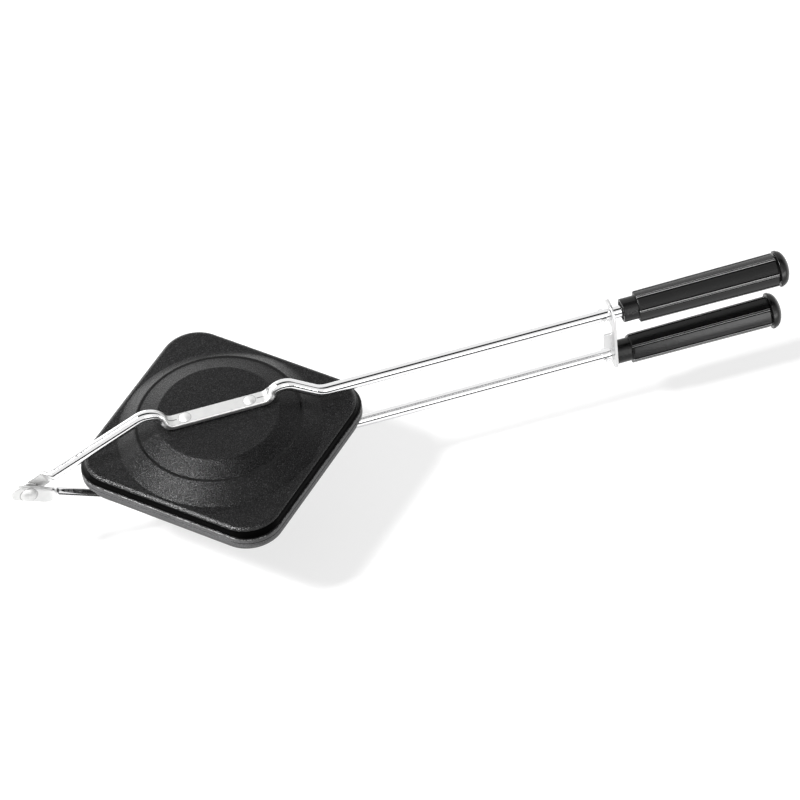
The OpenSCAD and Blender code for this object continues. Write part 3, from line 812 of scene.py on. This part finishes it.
def ribbed_section(width):
    """Section of the grip where it is width across, as points round its axis.

    Panels lie panel_depth out, grow with the width, swell by bulge x (1 - share squared) in
    the middle, and end in a step up to each rib.
    """
    scale = width / front_width
    half, depth = half_panel * scale, panel_depth + (width - front_width) / 2
    top = np.sqrt((width / 2) ** 2 - half**2)
    share = np.array([-1, -0.5, 0, 0.5, 1])
    flat = np.column_stack([depth + bulge * (1 - share**2), (half - shade_strip_width) * share])
    panel = np.vstack([[[top, -half], [depth, -half]], flat, [[depth, half], [top, half]]])
    angle = (np.arange(rib_count) + 0.5) * 2 * np.pi / rib_count
    c, s = np.cos(angle)[:, None], np.sin(angle)[:, None]
    corners = np.stack([panel[:, 0] * c - panel[:, 1] * s,
                        panel[:, 0] * s + panel[:, 1] * c], axis=-1).reshape(-1, 2)
    radii = [0.28, 0.08, 0, 0, 0, 0, 0, 0.08, 0.28] * rib_count
    return rounded(corners, radii, closed=True, steps=3, beside=0.05)


# Faces of one panel in turn: rib edge with painted highlight, strip of painted shade, panel,
# strip of painted shade, rib edge with painted highlight and the rib's top.
plain, painted_highlight_faces, painted_shade_faces = range(3)
section_marks = np.array(([painted_highlight_faces] * 5 + [painted_shade_faces] * 7 + [plain] * 4 + [painted_shade_faces] * 7
                          + [painted_highlight_faces] * 5 + [plain]) * rib_count)
print("ribbed section", ribbed_section(front_width).shape, "panel", round(panel_depth, 2))


# %% The grip's skin
socket_radius, socket_depth, bore_radius, recess_radius, recess_floor = 5.5, 7.0, 3.58, 7.5, 86.7
front_round, rear_round, mouth_edge = 0.8, 0.5, 0.3
tooth_count, tooth_half = 6, 0.7


def across_grip(outline, place):
    """A flat outline as a ring that stands across the grip's axis at the place along it."""
    return np.column_stack([np.full(len(outline), place), outline])


def grip_shells():
    """The body and collar as one skin with its bore, and the small ribs in the socket.

    A station is a ring's outline and its place along the grip. The ribbed outline shrinks by
    a share of 1 - sin or 1 - cos where an end is rounded, and the body's outline lies a share
    f of the way from the front one to the rear one.
    """
    front, rear = ribbed_section(front_width), ribbed_section(rear_width)
    middle = np.angle(front[:, 0] + 1j * front[:, 1])
    circle = np.column_stack([np.cos(middle), np.sin(middle)])
    tilt = np.radians(np.linspace(0, 90, 6))
    shoulder = [(front * (1 - 0.09 * (1 - np.sin(a))),
                 collar_length + front_round * (1 - np.cos(a))) for a in tilt]
    tail = [(rear * (1 - 0.05 * (1 - np.cos(a))),
             grip_rear - rear_round * (1 - np.sin(a))) for a in tilt]
    collar = rounded([[socket_radius, socket_depth], [socket_radius, 0], [collar_width / 2, 0],
                      [collar_width / 2, collar_length]], [0, 0.25, 0.5, 0], steps=4, beside=0.05)
    round_front = [(r * circle, s) for r, s in collar]
    straight = body_length - front_round - rear_round
    body = [((front * (1 - f) + rear * f), collar_length + front_round + f * straight)
            for f in np.linspace(0.01, 0.99, 6)]
    hollow = [(r * circle, s) for r, s in
              [(recess_radius + mouth_edge, grip_rear), (recess_radius, grip_rear - mouth_edge),
               (recess_radius, recess_floor), (bore_radius, recess_floor),
               (bore_radius, socket_depth)]]
    stations = round_front + shoulder + body + tail + hollow
    marks = np.full((len(stations), len(front)), plain)
    marks[len(round_front):-len(hollow) - 1] = section_marks
    shells = [shell(np.stack([across_grip(*station) for station in stations]), joined=True,
                    finishes=marks)]
    tooth = rounded([[3.6, -tooth_half], [5.8, -tooth_half], [5.8, tooth_half], [3.6, tooth_half]],
                    [0.1] * 4, closed=True, steps=2, beside=0.03)
    for a in np.arange(tooth_count) * 2 * np.pi / tooth_count:
        spun = tooth @ np.array([[np.cos(a), np.sin(a)], [-np.sin(a), np.cos(a)]])
        shells.append(shell(np.stack([across_grip(spun, s) for s in (0.5, 7.1)])))
    return shells


def on_grip(points, arm, turn=0.0):
    """Turns points about the grip's own axis, carries them to a rod and mirrors the lower one."""
    c, s = np.cos(turn), np.sin(turn)
    local = points @ np.array([[1, 0, 0], [0, c, s], [0, -s, c]])
    local = np.stack([local[..., 0], local[..., 2], -local[..., 1]], axis=-1)
    return (local + [grip_fronts[arm], 0, shank_level]) * flips[arm]


# %% Both grips
for arm, turn in (("upper", 6.5), ("lower", 22.0)):
    order = flips[arm][2]  # a mirrored skin's faces are turned round
    skins = [(on_grip(points, arm, np.radians(turn)), quads[:, ::order], tris[:, ::order], marks)
             for points, quads, tris, marks in grip_shells()]
    put_piece(f"{arm}_ribbed_grip", skins, [grip_plastic, painted_rib_highlight, painted_rib_shade],
              f"{arm}_grip", sharp=50)

# %% [markdown]
# ## End caps
#
# A domed cap closes each grip. It is a little wider than the body and stands off it by a
# hair, which shows as a dark ring. It is a turned piece with a hollow spigot, and its dome
# is half an ellipse, which is fuller at the rim than an arc of a circle.

# %% Turned caps
dome_radius, dome_rise, rim_radius, rim_front, rim_rear = 10.6, 5.4, 11.0, 0.8, 2.4
spigot_radius, spigot_hollow, spigot_length = 7.47, 5.67, 5


def cap_profile():
    """Profile from the dome's middle over the rim to the spigot and back inside it."""
    lean = np.radians(np.linspace(2, 84, 18))[:, None]
    rim = grip_rear + rim_rear
    dome = np.hstack([dome_radius * np.sin(lean), rim + dome_rise * np.cos(lean)])
    rest = rounded([[dome_radius, rim], [rim_radius, rim], [rim_radius, grip_rear + rim_front],
                    [spigot_radius, grip_rear + rim_front],
                    [spigot_radius, grip_rear - spigot_length],
                    [spigot_hollow, grip_rear - spigot_length], [spigot_hollow, grip_rear],
                    [0.3, grip_rear]],
                   [0, 0.18, 0.4, 0.1, 0.2, 0.2, 0, 0], steps=4, beside=0.03)
    return np.vstack([dome, rest])


for arm in ("upper", "lower"):
    turned_cap = turned_rings(cap_profile(), 96)
    along_rod = np.stack([turned_cap[..., 2], turned_cap[..., 0], turned_cap[..., 1]], axis=-1)
    put_piece(f"{arm}_domed_cap", [shell(on_grip(along_rod, arm))], [grip_plastic],
              f"{arm}_grip_cap", sharp=50)

# %% [markdown]
# ## The latch and the hidden rings
#
# The latch is a stamped plate with a tab folded off it. Its outline is already exact, so a
# copy of the solid's faces is enough: its loose triangles are merged, and a narrow bevel
# breaks the edges as stamping does. The two push-on rings inside the grips stay as they are
# and only get their steel.

# %% A bevelled copy of the latch
def make_latch(bevel_width=0.22):
    """The plate's own faces, merged, with their sharp edges broken by bevel_width."""
    mesh = frame["nodes"]["latch_plate"].data.copy()
    mesh.name = "hook_plate"
    work = bmesh.new()
    work.from_mesh(mesh)
    bmesh.ops.remove_doubles(work, verts=work.verts, dist=1e-6)
    bmesh.ops.dissolve_limit(work, angle_limit=np.radians(0.5), verts=work.verts, edges=work.edges)
    work.to_mesh(mesh)
    work.free()
    mesh.materials.clear()
    mesh.materials.append(latch_steel)
    mesh.polygons.foreach_set("material_index", np.zeros(len(mesh.polygons), np.int32))
    piece = bpy.data.objects.new("hook_plate", mesh)
    bpy.context.scene.collection.objects.link(piece)
    edge = piece.modifiers.new("broken_edges", "BEVEL")
    edge.width, edge.segments, edge.limit_method = bevel_width / 1000, 2, "ANGLE"
    edge.angle_limit, edge.harden_normals = np.radians(50), False
    mesh.shade_smooth()
    mesh.set_sharp_from_angle(angle=np.radians(35))
    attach(piece, "latch")
    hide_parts("latch_plate")
    print("latch", len(mesh.polygons), "faces before its bevel")


make_latch()
for arm in ("upper", "lower"):
    ring = frame["nodes"][f"{arm}_grip_retainer"]
    ring.data.materials.clear()
    ring.data.materials.append(hidden_steel)

# %% [markdown]
# ## Floor and light
#
# The tool is shown just above a plain white floor, which lies as low as the latch plate
# reaches when it hangs down. The floor shows its own light only to the camera and to shiny
# surfaces, and what it adds to that is the lamps' light, so the tool's shadow stays.
#
# Bright wire shows its surroundings as lines along it. In the picture there are two dark
# ones. The first is a dark band in the world's colour, straight above, told apart by how far
# round from the front, over the top and to the back a ray leaves. The second is a dark card
# that stands along the front. A bright card beside it lights the front of the grips, and one
# behind lights the back of the pan. Only shiny surfaces see the band and the cards, and all
# other light comes evenly from the world and from two soft lamps.

# %% A white floor
def put_flat(name, corners, make_surface):
    """Sets up one face, no part of the tool, with the surface made in an empty node tree."""
    mesh = bpy.data.meshes.new(name)
    mesh.from_pydata(corners, [], [[0, 1, 2, 3]])
    material = bpy.data.materials.new(f"{name}_surface")
    material.use_nodes = True
    tree = material.node_tree
    tree.nodes.clear()
    add_node(tree, "ShaderNodeOutputMaterial", Surface=make_surface(tree))
    mesh.materials.append(material)
    flat = bpy.data.objects.new(name, mesh)
    bpy.context.scene.collection.objects.link(flat)
    flat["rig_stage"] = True
    return flat


def seen_in_mirrors(tree):
    """The light path's outputs, and 1 for a ray that a shiny or clear surface sends on."""
    path = tree.nodes.new("ShaderNodeLightPath").outputs
    return path, arithmetic(tree, "MAXIMUM", path["Is Glossy Ray"], path["Is Transmission Ray"])


def floor_surface(tree, to_camera=0.70, to_mirrors=0.62, matt=0.35):
    """Matt white paint that also glows, as strongly as who looks at it needs."""
    path, mirrored = seen_in_mirrors(tree)
    glow = arithmetic(tree, "MULTIPLY_ADD", path["Is Camera Ray"], to_camera,
                      arithmetic(tree, "MULTIPLY", mirrored, to_mirrors))
    light = add_node(tree, "ShaderNodeEmission", Strength=glow, Color=(*grey(1), 1))
    paint = add_node(tree, "ShaderNodeBsdfDiffuse", Color=(*grey(matt), 1))
    both = add_node(tree, "ShaderNodeAddShader", n0=light.outputs[0], n1=paint.outputs[0])
    return both.outputs[0]


latch_hang, floor_half = 0.0215, 6.0
tool_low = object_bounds()[0][2]
put_flat("floor", [[x * floor_half, y * floor_half, tool_low - latch_hang]
                   for x, y in ((-1, -1), (1, -1), (1, 1), (-1, 1))], floor_surface)

# %% The room as shiny surfaces see it
world = bpy.data.worlds.new("soft_room")
bpy.context.scene.world = world
world.use_nodes = True
tree = world.node_tree
tree.nodes.clear()
towards = tree.nodes.new("ShaderNodeTexCoord").outputs["Generated"]
_, back, high = add_node(tree, "ShaderNodeSeparateXYZ", Vector=towards).outputs
front = arithmetic(tree, "MULTIPLY", back, -1.0)
over = arithmetic(tree, "DEGREES", arithmetic(tree, "ARCTAN2", high, front))


def band_over(middle, half_width, edge):
    """1 within half_width degrees of middle, falling to 0 over edge degrees."""
    off = arithmetic(tree, "ABSOLUTE", arithmetic(tree, "SUBTRACT", over, middle))
    return ramp(tree, off, half_width, half_width + edge, 1.0, 0.0)


dark, even = 0.02, 0.40
room = blend_colours(tree, band_over(92.5, 13.5, 6.0), grey(1.0), grey(dark))
path, mirrored = seen_in_mirrors(tree)
colour = blend_colours(tree, mirrored, grey(even), room)
colour = blend_colours(tree, path["Is Camera Ray"], colour, grey(1.0))
background = add_node(tree, "ShaderNodeBackground", Color=colour, Strength=1.0)
add_node(tree, "ShaderNodeOutputWorld", Surface=background.outputs[0])

# %% Cards beside the tool
def put_card(name, left, right, away, top, colour, strength):
    """A long upright card, seen only in reflections, that glows with its colour."""
    low = tool_low + 0.001
    corners = [[left, away, low], [right, away, low], [right, away, top], [left, away, top]]
    card = put_flat(name, corners, lambda tree: add_node(
        tree, "ShaderNodeEmission", Color=(*colour, 1.0), Strength=strength).outputs[0])
    card.visible_camera = card.visible_diffuse = card.visible_shadow = False
    card.visible_transmission = False


front_away, front_top, front_split = -0.27, 0.075, 0.308
put_card("dark_card", -0.6, front_split, front_away, front_top, grey(dark), 1.0)
put_card("bright_card", front_split, 0.7, front_away, front_top, grey(1.0), 7.0)
put_card("back_card", -0.7, 0.0, 0.30, 0.16, grey(1.0), 2.4)

# %% Two soft lamps
def soft_lamp(name, place, aim, size, power):
    """A square lamp of size metres at place, turned to aim."""
    lamp = bpy.data.lights.new(name, "AREA")
    lamp.shape, lamp.size, lamp.energy = "SQUARE", size, power
    made = bpy.data.objects.new(name, lamp)
    back = np.subtract(place, aim)
    back = back / np.linalg.norm(back)
    side = np.cross([0.0, 0.0, 1.0], back)
    side /= np.linalg.norm(side)
    made.matrix_world = stand(side, np.cross(back, side), back, place)
    bpy.context.scene.collection.objects.link(made)


soft_lamp("left_lamp", (-1.01, -0.083, 1.40), (0, 0, 0), 0.30, 58)
soft_lamp("front_lamp", (0.45, -1.5, 0.95), (0.25, 0, 0), 0.80, 4)

# %% Sizes written down, and the end
low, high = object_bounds()
print("visual box in mm", [round(1000 * v, 1) for v in (*low, *high)])
